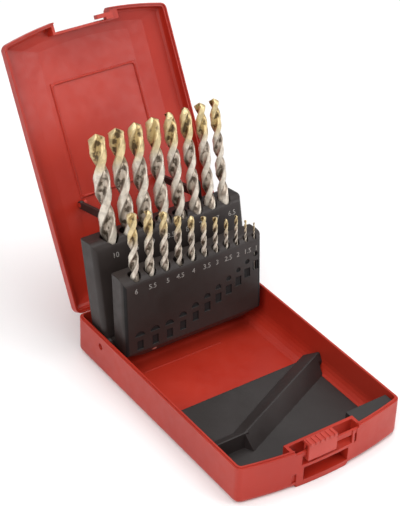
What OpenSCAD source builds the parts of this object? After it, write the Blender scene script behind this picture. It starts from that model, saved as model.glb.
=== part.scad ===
// Drill bit case: hinged shell, two tilting racks, tray, latch and nineteen twist drills.
// Frame: origin at the middle of the base's underside, X across, latch end at -Y, Z up.

/* [Shell] */
// Width of both shells
shell_w = 113; // [110:0.5:118]
// Height of the base up to its rim
base_h = 25.2; // [24.8:0.1:25.3]
// Thickness of the side walls
wall = 2; // [1.6:0.1:2.4]
// Thickness of the floor
floor_t = 1.4; // [1.2:0.1:1.6]
// How far the latch end bows out
bow = 7; // [5:0.5:8]
// Outer depth of the lid
lid_depth = 11.6; // [11.2:0.1:13]
// Turn of the lid between closed and open
lid_turn = 118.83; // [100:0.5:120]

/* [Racks] */
// Width of the front rack
front_w = 98.8; // [97:0.1:99.2]
// Width of the rear rack
rear_w = 106; // [104:0.2:106.2]
// Height of the front rack above its axle
front_top = 50.2; // [48:0.2:51]
// Height of the rear rack above its axle
rear_top = 64.7; // [63:0.2:66]
// Distance from the left end of the rear rack to the middle of its first drill
rear_start = 14.8; // [14.4:0.1:15.2]
// Distance from the left end of the front rack to the middle of its first drill
front_start = 10.5; // [10:0.1:11]
// Clearance between a drill and its socket
socket_clear = 0.2; // [0.15:0.05:0.35]

/* [Tray] */
// Height of the flat part of the tray insert
tray_h = 8.8; // [8:0.2:10]
// Height of the tray insert's ridge
ridge_h = 13.5; // [12:0.2:13.8]

/* [Latch] */
// Width of the sliding latch
slider_w = 19.6; // [18:0.2:20.4]

/* [Pins] */
// Radius of the rack axle
axle_r = 1.8; // [1.5:0.05:2]
// Radius of the hinge pin
hinge_pin_r = 1.2; // [1:0.05:1.4]
// Radial clearance of the turning joints
run_clear = 0.06; // [0.04:0.01:0.09]

/* [Hidden] */
red = [0.70, 0.16, 0.11];
black = [0.10, 0.09, 0.09];
steel = [0.62, 0.60, 0.56];
eps = 0.01;
half_w = shell_w / 2;
shell_end = 82.5;
corner_r = 4;
bow_r = (half_w * half_w + bow * bow) / (2 * bow);
bow_y = -shell_end - bow + bow_r;
hinge_z = 25.4;
axle_y = 56.3;
axle_z = 18.4;
rim_step = 1;
lip_h = 0.8;
boss_r = 4;
barrel_r = 3;
barrel_out = 46;
barrel_mid = 30;
barrel_in = 8;
barrel_gap = 0.4;
side_round = 9.5;
front_lean = 4.5;
rear_lean = 13;
front_back = 4.2;
front_face = 16.5;
front_skin = 1.1;
rear_back = -13.8;
rear_face = 0.4;
rear_skin = 0.9;
rack_low = -6.8;
rear_tip = 127.4;
front_ear = front_w / 2 - 2.45;
rear_ear = rear_w / 2 - 2.1;
boss_in = half_w - wall - 1.2;
lid_pin_s = 61.5;
lid_pin_d = 7;
rack_pin_a = 70;
rack_pin_n = -12.7;
arm_t = 2.2;
arm_pin_r = 1.5;
fork_pin_r = 1.1;
fork_r = 1.35;
recess_x = 17.5;
recess_back = -81.5;
slider_x = -14.2;

// Points of an arc about a centre
function arc(c, r, a0, a1, n) = [for (i = [0:n]) let (a = a0 + (a1 - a0) * i / n) c + r * [cos(a), sin(a)]];
// Plan outline of a shell, inset by ix at the sides, ih at the hinge end and ib at the bowed end
function outline(ix, ih, ib, r) = let (x = half_w - ix - r, y = shell_end - ih - r, q = bow_r - ib,
    a = asin(x / (q - r)), cy = bow_y - sqrt(pow(q - r, 2) - x * x))
    concat(arc([x, y], r, 0, 90, 5), arc([-x, y], r, 90, 180, 5), arc([-x, cy], r, 180, 270 - a, 5),
        [for (i = [1:13]) let (b = 270 - a + a * i / 7) [0, bow_y] + q * [cos(b), sin(b)]],
        arc([x, cy], r, 270 + a, 360, 5));

// Solid through a stack of outlines, each given as [outline, height]
module loft(levels) {
    n = len(levels[0][0]);
    k = len(levels);
    points = [for (l = levels) for (p = l[0]) [p[0], p[1], l[1]]];
    sides = [for (j = [0:k - 2]) for (i = [0:n - 1]) let (m = (i + 1) % n)
        each [[j * n + i, (j + 1) * n + m, j * n + m], [j * n + i, (j + 1) * n + i, (j + 1) * n + m]]];
    low = [[for (i = [0:n - 1]) i]];
    high = [[for (i = [0:n - 1]) k * n - 1 - i]];
    polyhedron(points, concat(low, sides, high), 6);
}

// Block given by its low and high corners
module block(a, b) {
    translate(a) cube(b - a);
}

// Cylinder along X between two places
module rod_x(x0, x1, y, z, r, fn = 48) {
    translate([x0, y, z]) rotate([0, 90, 0]) cylinder(r = r, h = x1 - x0, $fn = fn);
}

// Drill sizes held by each rack, largest first
rear_sizes = [for (i = [0:7]) 10 - i / 2];
front_sizes = [for (i = [0:10]) 6 - i / 2];
function place(sizes, start, gap, i) = i == 0 ? start
    : place(sizes, start, gap, i - 1) + (sizes[i - 1] + sizes[i]) / 2 + gap;
rear_gap = (rear_w - rear_start - 10.56 - 57.75) / 7;
front_gap = (front_w - front_start - 4.6 - 35) / 10;
rear_x = [for (i = [0:7]) place(rear_sizes, rear_start - rear_w / 2, rear_gap, i)];
front_x = [for (i = [0:10]) place(front_sizes, front_start - front_w / 2, front_gap, i)];
// Overall and flute lengths of the drills from 1 to 10 mm in half millimetre steps; the largest stops above the axle
drill_lengths = [34, 40, 49, 57, 61, 70, 75, 80, 86, 93, 93, 101, 109, 109, 117, 117, 125, 125, 125];
flute_lengths = [12, 18, 24, 30, 33, 39, 43, 47, 52, 57, 57, 63, 69, 69, 75, 75, 81, 81, 87];
function index(d) = round(d * 2 - 2);
// Heights of the drill points above the axle, front rack, largest first
front_tips = [90.7, 88.8, 84.8, 79, 75.9, 73, 70, 66.1, 66.3, 61, 57.5];
function foot(d, tip) = tip - drill_lengths[index(d)];
function socket_r(d) = max(d / 2 + socket_clear, 1.2);
// Distance of a drill's axis behind the front face's datum, both rows lined up along their fronts
function front_n(d) = front_face - front_skin - d / 2;
function rear_n(d) = rear_face - rear_skin - d / 2;
// Heights of the middles of the slots in the front rack's face, and a link arm's place between two sockets
slot_z = [3.3, 3.5, 3.8, 5.8, 8.8, 12.2, 15.4, 18.6, 21.9, 25.4, 28.8];
function arm_x(s) = s < 0 ? (rear_x[0] + rear_x[1] + 0.25) / 2 : (rear_x[5] + rear_x[6] + 0.25) / 2;
function lug_x(s) = arm_x(s) - s * (arm_t / 2 + 1.35);

// Local frame of a rack: y points to the rear, z along the drills, origin on the axle
module rack_frame(lean) {
    translate([0, axle_y, axle_z]) rotate([-lean, 0, 0]) children();
}

// Stands the lid open: it is drawn closed with its rim at height 0 and its depth upwards
module lid_frame() {
    translate([0, shell_end, hinge_z]) rotate([-lid_turn, 0, 0]) translate([0, -shell_end, 0]) children();
}

// Barrels of the hinge along X, mirrored about the middle
module barrels(zones, r, fn = 40) {
    for (z = zones) rod_x(z[0], z[1], shell_end, hinge_z, r, fn);
}
base_zones = [[-barrel_out, -barrel_mid], [-barrel_in, barrel_in], [barrel_mid, barrel_out]];
lid_zones = [[-barrel_mid + barrel_gap, -barrel_in - barrel_gap], [barrel_in + barrel_gap, barrel_mid - barrel_gap]];
bore_zones = [[-barrel_out - eps, barrel_out + eps]];
wide_base_zones = [for (z = base_zones) [z[0] - barrel_gap / 2, z[1] + barrel_gap / 2]];
wide_lid_zones = [for (z = lid_zones) [z[0] - barrel_gap / 2, z[1] + barrel_gap / 2]];

module base_outer() {
    edge = 3.5;
    loft(concat(
        [for (i = [0:4]) let (a = i * 22.5, q = edge * (1 - sin(a)))
            [outline(q, q, q, corner_r), edge * (1 - cos(a))]],
        [[outline(0, 0, 0, corner_r), base_h]]));
    loft([[outline(rim_step, rim_step, rim_step, corner_r - rim_step), base_h - 1],
        [outline(rim_step, rim_step, rim_step, corner_r - rim_step), base_h + lip_h]]);
}

// Room inside the base, less a gap all round
module base_cavity(gap = 0) {
    w = wall + gap;
    loft(concat(
        [for (i = [0:6]) let (a = i * 15, q = 1 - sin(a))
            [outline(w + side_round * q, w + 2 * q, w + 2 * q, 2.5), floor_t + side_round * (1 - cos(a))]],
        [[outline(w, w, w, 2.5), base_h + 5]]));
}

// Latch housing: box behind the end wall, opened to the front and above
module latch_body() {
    intersection() {
        block([-24, -90, 0], [24, -79.5, base_h]);
        base_outer();
    }
    // frame round the openings, square down to the underside, its right corner cut off
    intersection() {
        rotate([90, 0, 0]) linear_extrude(100)
            polygon([[-20.4, 0.4], [14.3, 0.4], [17.5, 5], [17.5, base_h], [-20.4, base_h]]);
        loft([[outline(0.02, 0.02, 0.02, corner_r), 0.2], [outline(0.02, 0.02, 0.02, corner_r), base_h]]);
        block([-30, -90, 0], [30, -84, base_h]);
    }
}
module latch_room() {
    block([-recess_x, -92, 15], [recess_x, recess_back, 40]);
    block([-22, -87.4, 15], [22, recess_back, 40]);
    block([-22, -92, 23.6], [22, recess_back, 40]);
    difference() {
        block([-16, -92, 4], [15, recess_back, 13]);
        translate([-16, recess_back, 4]) rotate([33, 0, 0]) block([-1, -12, -12], [33, 2, 0]);
    }
    block([19.2, -92, 14.5], [20.8, recess_back, 24]);
    block([-23.6, -92, 4], [-20.6, -87.6, 10]);
}

module base_shell() {
    color(red) difference() {
        union() {
            difference() {
                base_outer();
                base_cavity();
            }
            latch_body();
            for (s = [-1, 1]) {
                rod_x(s > 0 ? boss_in : -half_w + wall - eps, s > 0 ? half_w - wall + eps : -boss_in, axle_y, axle_z, boss_r);
            }
            barrels(base_zones, barrel_r);
            block([-36, 39.4, floor_t - eps], [20, 40.8, floor_t + 0.15]);
        }
        latch_room_cut();
        barrels(wide_lid_zones, barrel_r + barrel_gap);
        barrels(bore_zones, hinge_pin_r + run_clear);
        rod_x(-half_w - 1, half_w + 1, axle_y, axle_z, axle_r + run_clear);
        for (s = [-1, 1]) rod_x(s > 0 ? half_w - 1.4 : -half_w - 1, s > 0 ? half_w + 1 : 1.4 - half_w, axle_y, axle_z, 2.1);
    }
}

// The latch housing's openings without the guide bar that the slider hooks round
module latch_room_cut() {
    difference() {
        latch_room();
        block([-recess_x - 5, -88.2, 20.4], [recess_x + 5, -86.9, 23.6]);
    }
}

module tray_insert() {
    color(black) difference() {
        union() {
            // plate over the floor
            intersection() {
                block([-54.2, -87, floor_t], [50.2, -6, 3.2]);
                tray_room();
            }
            // level platform behind the ridge
            intersection() {
                tray_room();
                translate([0, 0, floor_t]) linear_extrude(tray_h - floor_t)
                    polygon([[-54.2, -6], [52.3, -6], [52.3, -13], [-24, -44], [-54.2, -44]]);
                // its top falls towards the racks, under the drills of the folded front rack
                rotate([90, 0, 90]) linear_extrude(120, center = true)
                    polygon([[-50, floor_t], [-5, floor_t], [-5, tray_h - 2.6], [-44, tray_h - 0.2], [-50, tray_h]]);
            }
            intersection() {
                tray_room();
                ridge();
            }
            intersection() {
                tray_room();
                block([24.2, -88, floor_t], [53, -74, 23.6]);
            }
        }
        block([51, -60, 2.6], [60, -16, 40]);
    }
}

// Space inside the base that the tray insert may fill
module tray_room() {
    difference() {
        base_cavity(0.25);
        block([-24.2, -92, -1], [24.2, -79.3, 40]);
    }
}

// Ridge that follows the points of the small drills, then runs square to the end
module ridge() {
    foot_z = 3;
    back = 9.5;
    low = tray_h - 1.7;
    front = 7.5;
    a = [48.1, -14.4];
    b = [-27.4, -48.2];
    c = [-54.5, -48.4];
    dir = (b - a) / norm(b - a);
    nor = [dir[1], -dir[0]];
    translate([a[0], a[1], 0]) rotate([0, 0, atan2(dir[1], dir[0])])
        rotate([90, 0, 90]) translate([0, 0, -6]) linear_extrude(norm(b - a) + 6)
            polygon([[-back, floor_t], [-back, low], [0, ridge_h], [0.9, ridge_h], [front, foot_z], [front, floor_t]]);
    translate([c[0], b[1], 0]) rotate([90, 0, 90]) linear_extrude(b[0] - c[0] + 3)
        polygon([[back, floor_t], [back, low], [0, ridge_h], [-0.9, ridge_h], [-1.2, floor_t]]);
}

module latch_slider() {
    color(red) translate([slider_x, 0, 0]) {
        block([0, -90, 17.3], [slider_w, -88.4, 28.5]);
        block([0, -90, 26.9], [slider_w, -84.3, 28.5]);
        block([0, -88.5, 17.3], [8, -86.7, 20.1]);
        block([0, -86.7, 17.3], [8, -85.2, 27]);
        for (i = [0:5]) {
            translate([1.6 + i * (slider_w - 3.2) / 5 - 0.7, -90.5, 27]) cube([1.4, 5.4, 2.1]);
        }
    }
}

// Lid built face down, closed: depth upwards, then stood open by its frame
function lid_level(i, d) = [outline(i, i, i, max(corner_r - i, 2.2)), d];
module lid_shape() {
    difference() {
        loft([lid_level(0, 0), lid_level(0, 5), lid_level(0.5, 6.7), lid_level(1.6, 8.2), lid_level(3.8, 9.4),
            [outline(14, 10, 10, 2.2), 10.9], [outline(24, 18, 18, 2.2), lid_depth]]);
        loft([[outline(wall, wall, wall, 2.2), -1], [outline(wall, wall, wall, 2.2), 5],
            [outline(wall + 0.5, wall + 0.5, wall + 0.5, 2.2), 6.4],
            [outline(wall + 2, wall + 2, wall + 2, 2.2), 7.5],
            [outline(14, 9, 9, 2.2), 9.2], [outline(24.5, 14, 14, 2.2), lid_depth - 1.6]]);
        loft([[outline(rim_step - 0.2, rim_step - 0.2, rim_step - 0.2, 3), -1],
            [outline(rim_step - 0.2, rim_step - 0.2, rim_step - 0.2, 3), 1]]);
    }
    // end panel of the lid, shared with the hook and the recess for the latch
    intersection() {
        block([-23, -92, 1], [23, -81, lid_depth]);
        loft([lid_level(0.01, 0), lid_level(0.01, 5), lid_level(0.5, 6.7), lid_level(1.6, 8.2), lid_level(3.8, 9.4),
            [outline(14, 10, 10, 2.2), 10.9]]);
    }
}

module lid_shell() {
    color(red) lid_frame() {
        difference() {
            union() {
                lid_shape();
                translate([0, shell_end, 0]) lug_plates();
                // raised panel on the inside of the roof
                difference() {
                    block([-29.3, -53.4, lid_depth - 2.2], [30.6, 17.6, lid_depth - 1.5]);
                    block([-28.1, -52.2, 0], [29.4, 16.4, lid_depth - 1.6]);
                }
            }
            block([-21.2, -95, -1], [17.6, -82.5, 20]);
            for (z = wide_base_zones) rod_x(z[0], z[1], shell_end, 0, barrel_r + barrel_gap);
            barrels_flat(bore_zones, hinge_pin_r + run_clear);
        }
        difference() {
            barrels_flat(lid_zones, barrel_r);
            barrels_flat(bore_zones, hinge_pin_r + run_clear);
        }
        hook();
    }
}

// Hook that the latch covers, reaching down into the housing
module hook() {
    block([6.4, -86.2, -2.8], [17.4, -83.6, 1.2]);
    block([12.5, -86.2, -2.8], [17.4, -82, 1.2]);
}

module barrels_flat(zones, r) {
    for (z = zones) rod_x(z[0], z[1], shell_end, 0, r);
}

// Lugs that carry the link arms, in the lid's closed frame with the hinge at y = 0
module lug_plates() {
    for (s = [-1, 1]) {
        x = lug_x(s);
        end = arm_x(s) + s * (arm_t / 2 + 0.3);
        rod_x(x - 1, x + 1, -lid_pin_s, lid_pin_d, 2.5);
        block([x - 1, -lid_pin_s - 2.5, lid_pin_d], [x + 1, -lid_pin_s + 2.5, lid_depth - 1]);
        rod_x(min(x, end), max(x, end), -lid_pin_s, lid_pin_d, arm_pin_r);
    }
}

module hinge_pin() {
    color(steel) rod_x(-barrel_out + 0.3, barrel_out - 0.3, shell_end, hinge_z, hinge_pin_r);
}

module rack_axle() {
    color(steel) rod_x(1.6 - half_w, half_w - 1.6, axle_y, axle_z, axle_r);
}

// Plan of a rack with rounded vertical edges, y from the rear face to the front face
module rack_plan(w, y0, y1, r0, r1) {
    polygon(concat(arc([w / 2 - r0, y0 + r0], r0, 0, -90, 6), arc([-w / 2 + r0, y0 + r0], r0, -90, -180, 6),
        arc([-w / 2 + r1, y1 - r1], r1, 180, 90, 6), arc([w / 2 - r1, y1 - r1], r1, 90, 0, 6)));
}

module front_rack_blank() {
    r = 5.5;
    // local y is minus the forward offset, so the front face is at -front_face
    intersection() {
        translate([0, 0, rack_low]) linear_extrude(front_top - rack_low) rack_plan(front_w, -front_face, -front_back, 2.7, 1);
        rotate([90, 0, 90]) linear_extrude(front_w + 2, center = true)
            polygon(concat([[-front_back, rack_low], [-front_back, front_top]],
                arc([-front_face + r, front_top - r], r, 90, 180, 6),
                [[-front_face, -1.5], [3.5 - front_face, rack_low]]));
        rotate([90, 0, 0]) linear_extrude(60, center = true)
            polygon([[-front_w, -1.5], [-front_w, 90], [front_w, 90], [front_w, -1.5], [front_w / 2, -1.5],
                [35, rack_low], [-35, rack_low], [-front_w / 2, -1.5]]);
    }
    for (s = [-1, 1]) hull_ear(s * front_ear, 1.8, 3.4, -front_back - 1);
}

// Ear round the axle, joined to the rack's face at local y
module hull_ear(x, half_t, r, y) {
    rod_x(x - half_t, x + half_t, 0, 0, r);
    if (y < 0) block([x - half_t, y, -r], [x + half_t, 0, r]);
    if (y > 0) block([x - half_t, 0, -r], [x + half_t, y, r]);
}

module front_rack() {
    color(black) rack_frame(front_lean) difference() {
        front_rack_blank();
        rod_x(-half_w, half_w, 0, 0, axle_r + run_clear);
        for (i = [0:10]) {
            d = front_sizes[i];
            translate([front_x[i], -front_n(d), foot(d, front_tips[i])]) cylinder(r = socket_r(d), h = 80, $fn = 32);
            translate([front_x[i], -front_n(d), front_top - 3.7]) cylinder(r = d / 2 + 0.9, h = 10, $fn = 32);
            window(front_x[i], -front_face, slot_z[i], d);
        }
    }
}

// Blind slot in the front face below each socket, with an arched pocket above it
module window(x, y, z, d) {
    r = max(1.65, d / 2 + 0.5);
    h = min(2 * r, 3.1);
    block([x - 2.15, y - 1, z - 3.05], [x + 2.15, y + 0.6, z + 3.05]);
    translate([x, y + 0.6, z + 7.8 + h / 2 - r]) rotate([90, 0, 0]) intersection() {
        cylinder(r = r, h = 2, $fn = 32);
        block([-5, r - h, -1], [5, 5, 4]);
    }
}

module rear_rack_blank() {
    r = 5.5;
    y = -rear_face;
    intersection() {
        translate([0, 0, rack_low]) linear_extrude(rear_top - rack_low + 1) rack_plan(rear_w, y, -rear_back, 3, 1);
        rotate([90, 0, 90]) linear_extrude(rear_w + 2, center = true)
            polygon(concat([[y + 1, rack_low], [-rear_back - 1, rack_low], [-rear_back, rack_low + 1], [-rear_back, rear_top]],
                [[r, rear_top - 0.6]], arc([y + r, rear_top - 0.6 - r], r, 95, 180, 6), [[y, rack_low + 1]]));
    }
    for (s = [-1, 1]) hull_ear(s * rear_ear, 1.6, 3.6, 2);
}

module rear_rack() {
    color(black) rack_frame(rear_lean) difference() {
        union() {
            rear_rack_blank();
            for (s = [-1, 1]) arm_ear(s);
        }
        rod_x(-half_w, half_w, 0, 0, axle_r + run_clear);
        rod_x(1.8 - rear_ear, rear_ear - 1.8, 0, 0, 2.4);
        for (s = [-1, 1]) {
            rod_x(s * front_ear - 2.2, s * front_ear + 2.2, 0, 0, 3.9);
            arm_slot(s);
        }
        for (i = [0:7]) {
            d = rear_sizes[i];
            translate([rear_x[i], -rear_n(d), foot(d, rear_tip)]) cylinder(r = socket_r(d), h = 80, $fn = 32);
            translate([rear_x[i], -rear_n(d), rear_top - 4.3]) cylinder(r = d / 2 + 0.7, h = 10, $fn = 32);
        }
    }
}

// Forked ear behind the rack's top that takes the arm's pin
module arm_ear(s) {
    x0 = arm_x(s) + (s > 0 ? 1.7 : -3.2);
    x1 = arm_x(s) + (s > 0 ? 4.3 : -1.8);
    lean = 37.2;
    difference() {
        translate([x0, 0, 0]) rotate([90, 0, 90]) linear_extrude(x1 - x0)
            polygon([[10.7, rear_top - 6], [13.8, rear_top - 6], [13.8, 66], [16.2, 68.6], [16.2, 70.4],
                [15.2, 76], [11.7, 76.6], [10.7, 75.4]]);
        translate([x0 - 1, -rack_pin_n, rack_pin_a]) rotate([-lean, 0, 0]) {
            rod_x(0, x1 - x0 + 2, 0, 0, fork_r);
            rotate([90, 0, 90]) linear_extrude(x1 - x0 + 2)
                polygon([[-fork_r, 0], [fork_r, 0], [1.75, 2.5], [1.75, 9], [-1.75, 9], [-1.75, 2.5]]);
        }
    }
}

module arm_slot(s) {
    half = arm_t / 2 + 0.7;
    block([arm_x(s) - half, 10.1, 29.5], [arm_x(s) + half, 16, rear_top + 3]);
    block([lug_x(s) - 1.5, 10.9, 29.5], [lug_x(s) + 1.5, 16, 40.5]);
}

// Link arm: eye on the lid's pin, strap, and a cross pin in the fork of the rack's ear
module link_arm(s) {
    a = lid_point(lid_pin_s, lid_pin_d);
    b = rack_point(rack_pin_a, rack_pin_n);
    len = norm(b - a);
    reach = s > 0 ? 4.1 : 3;
    translate([arm_x(s), a[0], a[1]]) rotate([atan2(b[1] - a[1], b[0] - a[0]), 0, 0])
        rotate([90, 0, 90]) {
            difference() {
                union() {
                    translate([0, 0, -arm_t / 2]) cylinder(r = 2.4, h = arm_t, $fn = 40);
                    translate([len, 0, -arm_t / 2]) cylinder(r = 1.7, h = arm_t, $fn = 40);
                    translate([0, 0, -arm_t / 2]) linear_extrude(arm_t)
                        polygon([[0, -1.9], [len - 8, -2.6], [len, -1.7], [len, 1.6], [len - 7, 2.4], [0, 2.2]]);
                }
                translate([0, 0, -5]) cylinder(r = arm_pin_r + run_clear, h = 10, $fn = 40);
            }
            translate([len, 0, 0]) mirror([0, 0, s > 0 ? 0 : 1]) cylinder(r = fork_pin_r, h = reach, $fn = 40);
        }
}
function lid_point(s, d) = [shell_end + s * -cos(lid_turn) + d * sin(lid_turn), hinge_z + s * sin(lid_turn) + d * cos(lid_turn)];
function rack_point(a, n) = [axle_y + a * sin(rear_lean) - n * cos(rear_lean), axle_z + a * cos(rear_lean) + n * sin(rear_lean)];

function spin(points, a) = [for (p = points) [p[0] * cos(a) - p[1] * sin(a), p[0] * sin(a) + p[1] * cos(a)]];
// Section of the fluted part: two lands joined by a web
function flute_section(r) = [for (h = [0, 180])
    each concat(arc([0, 0], r, h - 38, h + 38, 3), arc([0, 0], r * 0.36, h + 75, h + 105, 1))];

// One twist drill standing on its shank, point up
module twist_drill(d) {
    r = d / 2;
    whole = drill_lengths[index(d)];
    flute = flute_lengths[index(d)];
    point_h = r * 0.6;
    turn = 360 / (4.84 * d);
    body = flute - point_h;
    steps = max(6, round(body * turn / 50));
    land = r * 0.985;
    cylinder(r = r, h = whole - flute + 0.3, $fn = 24);
    translate([0, 0, whole - flute]) loft(concat(
        [for (i = [0:steps]) [spin(flute_section(land), turn * body * i / steps), body * i / steps]],
        [for (k = [0.5, 0.94]) [spin(flute_section(land * (1 - k)), turn * (body + point_h * k)), body + point_h * k]]));
}

module rear_drill(i) {
    d = rear_sizes[i];
    color(steel) rack_frame(rear_lean) translate([rear_x[i], -rear_n(d), foot(d, rear_tip)])
        rotate([0, 0, 40 + i * 25]) twist_drill(d);
}

module front_drill(i) {
    d = front_sizes[i];
    color(steel) rack_frame(front_lean) translate([front_x[i], -front_n(d), foot(d, front_tips[i])])
        rotate([0, 0, 20 + i * 37]) twist_drill(d);
}

base_shell();
tray_insert();
latch_slider();
lid_shell();
hinge_pin();
rack_axle();
front_rack();
rear_rack();
color(black) link_arm(-1);  // link_arm_left
color(black) link_arm(1);  // link_arm_right
rear_drill(0);  // drill_10
rear_drill(1);  // drill_9_5
rear_drill(2);  // drill_9
rear_drill(3);  // drill_8_5
rear_drill(4);  // drill_8
rear_drill(5);  // drill_7_5
rear_drill(6);  // drill_7
rear_drill(7);  // drill_6_5
front_drill(0);  // drill_6
front_drill(1);  // drill_5_5
front_drill(2);  // drill_5
front_drill(3);  // drill_4_5
front_drill(4);  // drill_4
front_drill(5);  // drill_3_5
front_drill(6);  // drill_3
front_drill(7);  // drill_2_5
front_drill(8);  // drill_2
front_drill(9);  // drill_1_5
front_drill(10);  // drill_1
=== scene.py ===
"""Drill bit case: looks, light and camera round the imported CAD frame. Metres throughout."""

import math

import bmesh
import bpy
from mathutils import Matrix, Vector


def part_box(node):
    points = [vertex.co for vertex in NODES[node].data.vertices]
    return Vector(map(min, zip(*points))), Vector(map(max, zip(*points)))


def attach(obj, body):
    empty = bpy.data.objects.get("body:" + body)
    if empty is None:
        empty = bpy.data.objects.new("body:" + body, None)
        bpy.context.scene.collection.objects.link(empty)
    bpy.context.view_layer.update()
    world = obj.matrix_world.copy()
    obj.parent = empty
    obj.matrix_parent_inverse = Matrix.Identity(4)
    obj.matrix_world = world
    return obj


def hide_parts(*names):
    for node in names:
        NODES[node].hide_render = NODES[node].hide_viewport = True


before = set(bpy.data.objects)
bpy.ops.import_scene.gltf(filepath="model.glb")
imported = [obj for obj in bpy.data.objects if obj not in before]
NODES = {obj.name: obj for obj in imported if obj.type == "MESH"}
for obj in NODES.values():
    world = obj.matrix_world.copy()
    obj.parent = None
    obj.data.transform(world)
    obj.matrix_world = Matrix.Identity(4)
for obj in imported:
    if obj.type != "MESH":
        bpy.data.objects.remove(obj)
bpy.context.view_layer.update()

MM = 0.001
AXLE = Vector((0, 56.3, 18.4)) * MM
LEAN = {"front_rack": math.radians(4.5), "rear_rack": math.radians(13)}
SKIN = {"front_rack": 15.4, "rear_rack": -0.5}
FACE = {"front_rack": 16.5, "rear_rack": 0.4}


# ---------------------------------------------------------------- camera
def make_camera():
    """The photograph's camera: long lens, from the latch end, a little rolled."""
    az, el, roll = (math.radians(a) for a in (-35.757, 34.229, 2.058))
    back = Vector((math.sin(az) * math.cos(el), -math.cos(az) * math.cos(el), math.sin(el)))
    side = Vector((math.cos(az), math.sin(az), 0))
    up = back.cross(side)
    place = (back * 981.19 + side * -21.978 + up * 79.834) * MM
    right = side * math.cos(roll) + up * math.sin(roll)
    top = up * math.cos(roll) - side * math.sin(roll)
    data = bpy.data.cameras.new("camera")
    data.sensor_fit = "HORIZONTAL"
    data.sensor_width = 36
    data.lens = 36 * 1659.8 / 400
    data.clip_start, data.clip_end = 0.05, 20
    camera = bpy.data.objects.new("camera", data)
    bpy.context.scene.collection.objects.link(camera)
    camera.matrix_world = Matrix.Translation(place) @ Matrix((right, top, back)).transposed().to_4x4()
    bpy.context.scene.camera = camera


make_camera()


# ---------------------------------------------------------------- materials
def new_material(name):
    material = bpy.data.materials.new(name)
    material.use_nodes = True
    tree = material.node_tree
    return material, tree, tree.nodes["Principled BSDF"]


def add(tree, kind, **values):
    """A shader node; keys are its properties or, for names of sockets, their values."""
    node = tree.nodes.new("ShaderNode" + kind)
    for key, value in values.items():
        if hasattr(node, key):
            setattr(node, key, value)
        else:
            node.inputs[key.replace("_", " ")].default_value = value
    return node


def noise(tree, scale, detail=3.0, stretch=(1, 1, 1)):
    """Noise in the object's own coordinates, as a factor socket."""
    place = add(tree, "TexCoord")
    mapping = add(tree, "Mapping", Scale=stretch)
    texture = add(tree, "TexNoise", Scale=scale, Detail=detail)
    tree.links.new(place.outputs["Object"], mapping.inputs["Vector"])
    tree.links.new(mapping.outputs[0], texture.inputs["Vector"])
    return texture.outputs["Fac"]


def ramp(tree, factor, stops):
    """Colour ramp over (place, colour) stops, as a colour socket."""
    node = add(tree, "ValToRGB")
    elements = node.color_ramp.elements
    for i, (place, colour) in enumerate(stops):
        element = elements[i] if i < 2 else elements.new(place)
        element.position = place
        element.color = (*colour, 1)
    tree.links.new(factor, node.inputs[0])
    return node.outputs[0]


def spread(tree, factor, low, high):
    """The factor's middle range mapped to low..high, as a value socket."""
    node = add(tree, "MapRange")
    for i, value in enumerate((0.3, 0.7, low, high)):
        node.inputs[i + 1].default_value = value
    tree.links.new(factor, node.inputs[0])
    return node.outputs[0]


def bump(tree, shader, height, strength, distance, edge=0):
    """Fine relief, over edges that are rounded off by the given radius."""
    node = add(tree, "Bump", Strength=strength, Distance=distance)
    tree.links.new(height, node.inputs["Height"])
    if edge:
        tree.links.new(add(tree, "Bevel", samples=6, Radius=edge).outputs[0], node.inputs["Normal"])
    tree.links.new(node.outputs[0], shader.inputs["Normal"])


def plastic(name, dark, light, rough, grain=1400, strength=0.12):
    """Moulded plastic: slightly uneven colour and gloss over a fine grain."""
    material, tree, shader = new_material(name)
    tree.links.new(ramp(tree, noise(tree, 22), [(0.35, dark), (0.65, light)]), shader.inputs["Base Color"])
    tree.links.new(spread(tree, noise(tree, 160), *rough), shader.inputs["Roughness"])
    bump(tree, shader, noise(tree, grain, 2), strength, 0.00004, 0.0005)
    shader.inputs["Specular IOR Level"].default_value = 0.34
    return material


def steel(name):
    """Bright drawn steel with fine lines along its length."""
    material, tree, shader = new_material(name)
    lines = noise(tree, 900, 2, (0.02, 1, 1))
    tint = ramp(tree, lines, [(0.3, (0.42, 0.40, 0.37)), (0.7, (0.62, 0.60, 0.56))])
    tree.links.new(tint, shader.inputs["Base Color"])
    tree.links.new(spread(tree, lines, 0.22, 0.4), shader.inputs["Roughness"])
    shader.inputs["Metallic"].default_value = 1
    return material


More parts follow.
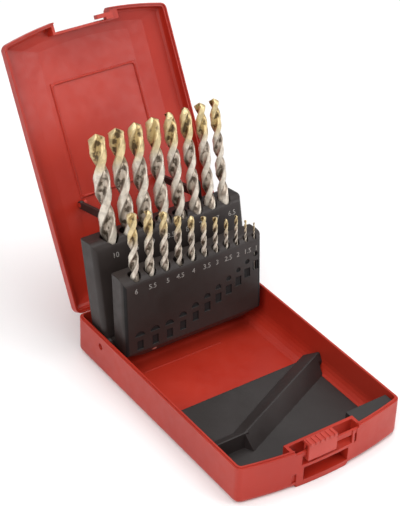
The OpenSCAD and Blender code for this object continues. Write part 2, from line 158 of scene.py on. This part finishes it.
def drill_steel():
    """Ground steel: pale lands, painted shade and painted dark reflection as brown patches in the flutes, a gold coat
    that fades down from the point.
    """
    material, tree, shader = new_material("drill_steel")
    depth = add(tree, "Attribute", attribute_name="flute").outputs["Fac"]
    gold = add(tree, "Attribute", attribute_name="gold").outputs["Fac"]
    lines = noise(tree, 2600, 2)
    # both ramps over flute depth darken the flutes: painted shade and dark reflection over the steel's and the gold's
    # own colours
    bare_with_flute_shade = ramp(tree, depth, [(0.06, (0.74, 0.66, 0.56)), (0.36, (0.28, 0.22, 0.17)), (0.95, (0.50, 0.42, 0.34))])
    coat = ramp(tree, depth, [(0.1, (0.72, 0.57, 0.31)), (0.9, (0.46, 0.32, 0.13))])
    # dark noise patches, multiplied in more strongly the deeper the flute: painted shade and dark reflection
    flute_shade_blotch = ramp(tree, noise(tree, 270, 2.2), [(0.45, (1, 1, 1)), (0.57, (0.13, 0.10, 0.07))])
    blend = add(tree, "Mix", data_type="RGBA")
    tree.links.new(gold, blend.inputs[0])
    tree.links.new(bare_with_flute_shade, blend.inputs[6])
    tree.links.new(coat, blend.inputs[7])
    flute_shaded = add(tree, "Mix", data_type="RGBA", blend_type="MULTIPLY")
    tree.links.new(spread(tree, depth, 0.25, 0.95), flute_shaded.inputs[0])
    tree.links.new(blend.outputs[2], flute_shaded.inputs[6])
    tree.links.new(flute_shade_blotch, flute_shaded.inputs[7])
    tree.links.new(flute_shaded.outputs[2], shader.inputs["Base Color"])
    tree.links.new(spread(tree, lines, 0.28, 0.46), shader.inputs["Roughness"])
    bump(tree, shader, lines, 0.15, 0.00002)
    shader.inputs["Metallic"].default_value = 0.5
    return material


RED = plastic("red_plastic", (0.37, 0.020, 0.009), (0.43, 0.029, 0.014), (0.32, 0.45))
RED_LATCH = plastic("red_latch", (0.44, 0.040, 0.026), (0.50, 0.054, 0.036), (0.32, 0.44))
BLACK = plastic("black_plastic", (0.021, 0.015, 0.013), (0.030, 0.022, 0.020), (0.38, 0.52), 1100, 0.2)
TRAY = plastic("tray_plastic", (0.024, 0.020, 0.019), (0.034, 0.029, 0.028), (0.42, 0.58), 1100, 0.25)
INK = plastic("numeral_print", (0.24, 0.22, 0.20), (0.34, 0.31, 0.29), (0.5, 0.65), 2400, 0.1)
# painted shade: near-black for the unlit faces sunk into the front rack
PAINTED_RECESS_SHADE = plastic("recess_painted_shade", (0.006, 0.005, 0.005), (0.009, 0.008, 0.008), (0.6, 0.75), 1100, 0.1)
STEEL = steel("pin_steel")
DRILL = drill_steel()


def finish_node(name, material):
    """Puts one material on a carried-over CAD node."""
    mesh = NODES[name].data
    mesh.materials.clear()
    mesh.materials.append(material)


for node_name, node_material in {
    "base_shell": RED,
    "lid_shell": RED,
    "latch_slider": RED_LATCH,
    "tray_insert": TRAY,
    "front_rack": BLACK,
    "rear_rack": BLACK,
    "link_arm_left": BLACK,
    "link_arm_right": BLACK,
    "hinge_pin": STEEL,
    "rack_axle": STEEL,
}.items():
    finish_node(node_name, node_material)


# ---------------------------------------------------------------- drills
REAR_SIZES = [10 - i / 2 for i in range(8)]
FRONT_SIZES = [6 - i / 2 for i in range(11)]
OVERALL = [34, 40, 49, 57, 61, 70, 75, 80, 86, 93, 93, 101, 109, 109, 117, 117, 125, 125, 125]
FLUTED = [12, 18, 24, 30, 33, 39, 43, 47, 52, 57, 57, 63, 69, 69, 75, 75, 81, 81, 87]
FRONT_TIPS = [90.7, 88.8, 84.8, 79, 75.9, 73, 70, 66.1, 66.3, 61, 57.5]
REAR_TIP = 127.4
FRONT_GOLD = [22, 19, 16, 12.5, 12, 11, 11, 11, 10, 9, 8]


def rack_matrix(rack):
    """Row frame from the rack's own: X across, Y to the rear, Z along the drills, from the axle."""
    return Matrix.Translation(AXLE) @ Matrix.Rotation(-LEAN[rack], 4, "X")


def node_of(size):
    return "drill_" + f"{size:g}".replace(".", "_")


def section_radius(angle):
    """Share of the drill's radius at an angle round its section, 0 in the middle of a land."""
    a = abs((math.degrees(angle) + 90) % 180 - 90)
    if a < 27:
        return 0.965
    if a < 36:
        return 1.0
    t = (a - 36) / 54
    return 1.0 - 0.66 * math.sin(min(1, t * 1.18) * math.pi / 2) ** 0.8


def twist_drill(size, rack, tip, turn, gold):
    """One drill as rings of a fluted section that turn as they climb, ending in a 118 degree point."""
    radius = size / 2
    index = round(size * 2 - 2)
    whole, fluted = OVERALL[index], FLUTED[index]
    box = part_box(node_of(size))
    x = (box[0].x + box[1].x) / 2 / MM
    pitch = 4.84 * size
    around = 36
    point = radius / math.tan(math.radians(59))
    rings = max(24, round(fluted / pitch * 18))
    heights = [0, whole - fluted - 0.4] + [whole - fluted + (fluted - point) * i / rings for i in range(rings + 1)]
    heights += [whole - point * k for k in (0.8, 0.6, 0.4, 0.2, 0.04)]
    shape = bmesh.new()
    flute_layer = shape.verts.layers.float.new("flute")
    gold_layer = shape.verts.layers.float.new("gold")
    loops = []
    for z in heights:
        start = whole - fluted
        turned = math.radians(turn) + 2 * math.pi * max(0, z - start) / pitch
        runin = min(1, max(0, (z - start) / (1.2 * size)))
        cone = (whole - z) * math.tan(math.radians(59))
        loop = []
        for i in range(around):
            a = 2 * math.pi * i / around
            share = 1 - (1 - section_radius(a)) * runin
            r = min(share * radius, cone)
            b = a + turned
            vert = shape.verts.new((r * math.cos(b) * MM, r * math.sin(b) * MM, z * MM))
            vert[flute_layer] = min(1, (1 - share) / 0.6)
            vert[gold_layer] = min(1, max(0, (z - whole + gold) / 7))
            loop.append(vert)
        loops.append(loop)
    for low, high in zip(loops, loops[1:]):
        for i in range(around):
            j = (i + 1) % around
            shape.faces.new((low[i], low[j], high[j], high[i]))
    shape.faces.new(loops[0][::-1])
    shape.faces.new(loops[-1])
    mesh = bpy.data.meshes.new(node_of(size) + "_fluted")
    shape.to_mesh(mesh)
    shape.free()
    for face in mesh.polygons:
        face.use_smooth = True
    mesh.materials.append(DRILL)
    drill = bpy.data.objects.new(mesh.name, mesh)
    bpy.context.scene.collection.objects.link(drill)
    foot = Vector((x, radius - SKIN[rack], tip - whole)) * MM
    mesh.transform(rack_matrix(rack) @ Matrix.Translation(foot))
    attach(drill, node_of(size))
    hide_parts(node_of(size))


for i, drill_size in enumerate(REAR_SIZES):
    twist_drill(drill_size, "rear_rack", REAR_TIP, 100 + i * 3, 24)
for i, drill_size in enumerate(FRONT_SIZES):
    twist_drill(drill_size, "front_rack", FRONT_TIPS[i], 20 + i * 37, FRONT_GOLD[i])


# ---------------------------------------------------------------- numerals
def numeral(text, rack, x, along, height):
    """A raised, printed size number on a rack's front face."""
    curve = bpy.data.curves.new("text", "FONT")
    curve.body = text
    curve.size = height * 1.38 * MM
    curve.align_x = "CENTER"
    curve.align_y = "CENTER"
    curve.extrude = 0.12 * MM
    source = bpy.data.objects.new("text", curve)
    bpy.context.scene.collection.objects.link(source)
    mesh = bpy.data.meshes.new_from_object(source.evaluated_get(bpy.context.evaluated_depsgraph_get()))
    bpy.data.objects.remove(source)
    mesh.name = "number_" + text.replace(".", "_")
    mesh.materials.clear()
    mesh.materials.append(INK)
    face = Matrix.Translation(Vector((x, -FACE[rack] - 0.05, along)) * MM) @ Matrix.Rotation(math.radians(90), 4, "X")
    mesh.transform(rack_matrix(rack) @ face)
    mark = bpy.data.objects.new(mesh.name, mesh)
    bpy.context.scene.collection.objects.link(mark)
    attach(mark, rack)


FRONT_MARKS = [-40.3, -29.0, -18.4, -9.6, -0.3, 9.3, 16.7, 24.8, 31.9, 38.9, 45.3]
for i, drill_size in enumerate(FRONT_SIZES):
    numeral(f"{drill_size:g}", "front_rack", FRONT_MARKS[i], 40.4, 3.3)
for i, drill_size in enumerate(REAR_SIZES):
    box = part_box(node_of(drill_size))
    numeral(f"{drill_size:g}", "rear_rack", (box[0].x + box[1].x) / 2 / MM - 0.3 + 0.36 * i, 53.5 + 0.13 * i, 3.3)


# ---------------------------------------------------------------- painted shade in the pockets
def darken(rack, low, high):
    """Gives the faces sunk into a rack's front, between two heights, a near-black painted shade for their unlit
    recesses.
    """
    mesh = NODES[rack].data
    mesh.materials.append(PAINTED_RECESS_SHADE)
    inverse = rack_matrix(rack).inverted() @ NODES[rack].matrix_world
    for face in mesh.polygons:
        point = inverse @ face.center / MM
        if low < point.z < high and 0.03 < point.y + FACE[rack] < 0.72:
            face.material_index = 1


darken("front_rack", 0, 40)


# ---------------------------------------------------------------- lid panel
LID = (
    Matrix.Translation(Vector((0, 82.5, 25.4)) * MM)
    @ Matrix.Rotation(-math.radians(118.83), 4, "X")
    @ Matrix.Translation(Vector((0, -82.5, 0)) * MM)
)


def bead(name, points, radius, material, body):
    """A round raised line through points of the closed lid's frame, in millimetres."""
    curve = bpy.data.curves.new(name, "CURVE")
    curve.dimensions = "3D"
    curve.bevel_depth = radius * MM
    curve.bevel_resolution = 4
    line = curve.splines.new("POLY")
    line.points.add(len(points) - 1)
    for point, place in zip(line.points, points):
        point.co = (*(LID @ (Vector(place) * MM)), 1)
    line.use_cyclic_u = True
    curve.materials.append(material)
    obj = bpy.data.objects.new(name, curve)
    bpy.context.scene.collection.objects.link(obj)
    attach(obj, body)


def rounded_box(left, right, low, high, radius, depth, steps=6):
    """Points round a rectangle with rounded corners at one depth."""
    corners = [(right - radius, high - radius, 0), (left + radius, high - radius, 90)]
    corners += [(left + radius, low + radius, 180), (right - radius, low + radius, 270)]
    points = []
    for x, y, first in corners:
        for k in range(steps + 1):
            a = math.radians(first + 90 * k / steps)
            points.append((x + radius * math.cos(a), y + radius * math.sin(a), depth))
    return points


bead("lid_panel_edge", rounded_box(-28.7, 30, -52.8, 17, 3, 9.65), 0.55, RED, "lid")


# ---------------------------------------------------------------- stage
def plane(name, half, height):
    mesh = bpy.data.meshes.new(name)
    corners = [(-half, -half, height), (half, -half, height), (half, half, height), (-half, half, height)]
    mesh.from_pydata(corners, [], [(0, 1, 2, 3)])
    obj = bpy.data.objects.new(name, mesh)
    bpy.context.scene.collection.objects.link(obj)
    return obj


def area_light(name, place, target, size, power, colour=(1, 1, 1)):
    data = bpy.data.lights.new(name, "AREA")
    data.shape = "SQUARE"
    data.size, data.energy, data.color = size, power, colour
    light = bpy.data.objects.new(name, data)
    bpy.context.scene.collection.objects.link(light)
    light.location = place
    light.rotation_euler = (Vector(target) - Vector(place)).to_track_quat("-Z", "Y").to_euler()


def make_stage():
    floor = plane("floor", 6, 0)
    material, tree, shader = new_material("floor_paper")
    paper = ramp(tree, noise(tree, 4), [(0.3, (0.95, 0.95, 0.95)), (0.7, (0.96, 0.96, 0.96))])
    tree.links.new(paper, shader.inputs["Base Color"])
    shader.inputs["Roughness"].default_value = 0.9
    shader.inputs["Specular IOR Level"].default_value = 0.1
    # the floor turns to plain white away from the object, for the camera alone
    far = add(tree, "VectorMath", operation="LENGTH")
    tree.links.new(add(tree, "TexCoord").outputs["Object"], far.inputs[0])
    fade = add(tree, "MapRange")
    fade.inputs["From Min"].default_value, fade.inputs["From Max"].default_value = 0.35, 0.9
    tree.links.new(far.outputs["Value"], fade.inputs["Value"])
    seen = add(tree, "Math", operation="MULTIPLY")
    tree.links.new(fade.outputs[0], seen.inputs[0])
    tree.links.new(add(tree, "LightPath").outputs["Is Camera Ray"], seen.inputs[1])
    white = add(tree, "Emission")
    blend = add(tree, "MixShader")
    tree.links.new(seen.outputs[0], blend.inputs[0])
    tree.links.new(shader.outputs[0], blend.inputs[1])
    tree.links.new(white.outputs[0], blend.inputs[2])
    tree.links.new(blend.outputs[0], tree.nodes["Material Output"].inputs["Surface"])
    floor.data.materials.append(material)
    area_light("key", (-0.9, -0.5, 1.1), (0, 0, 0.05), 0.8, 10)
    area_light("fill", (0.9, -1.0, 0.7), (0, 0, 0.03), 0.9, 9)
    area_light("top", (0.25, 0.2, 1.5), (0.05, 0, 0), 1.2, 13)
    world = bpy.data.worlds.new("world")
    bpy.context.scene.world = world
    world.use_nodes = True
    tree = world.node_tree
    soft = tree.nodes["Background"]
    soft.inputs["Color"].default_value = (1, 1, 1, 1)
    soft.inputs["Strength"].default_value = 0.42
    white = tree.nodes.new("ShaderNodeBackground")
    white.inputs["Color"].default_value = (1, 1, 1, 1)
    white.inputs["Strength"].default_value = 1
    path = tree.nodes.new("ShaderNodeLightPath")
    mix = tree.nodes.new("ShaderNodeMixShader")
    tree.links.new(path.outputs["Is Camera Ray"], mix.inputs[0])
    tree.links.new(soft.outputs[0], mix.inputs[1])
    tree.links.new(white.outputs[0], mix.inputs[2])
    tree.links.new(mix.outputs[0], tree.nodes["World Output"].inputs["Surface"])
    bpy.context.scene.view_settings.view_transform = "Standard"


make_stage()
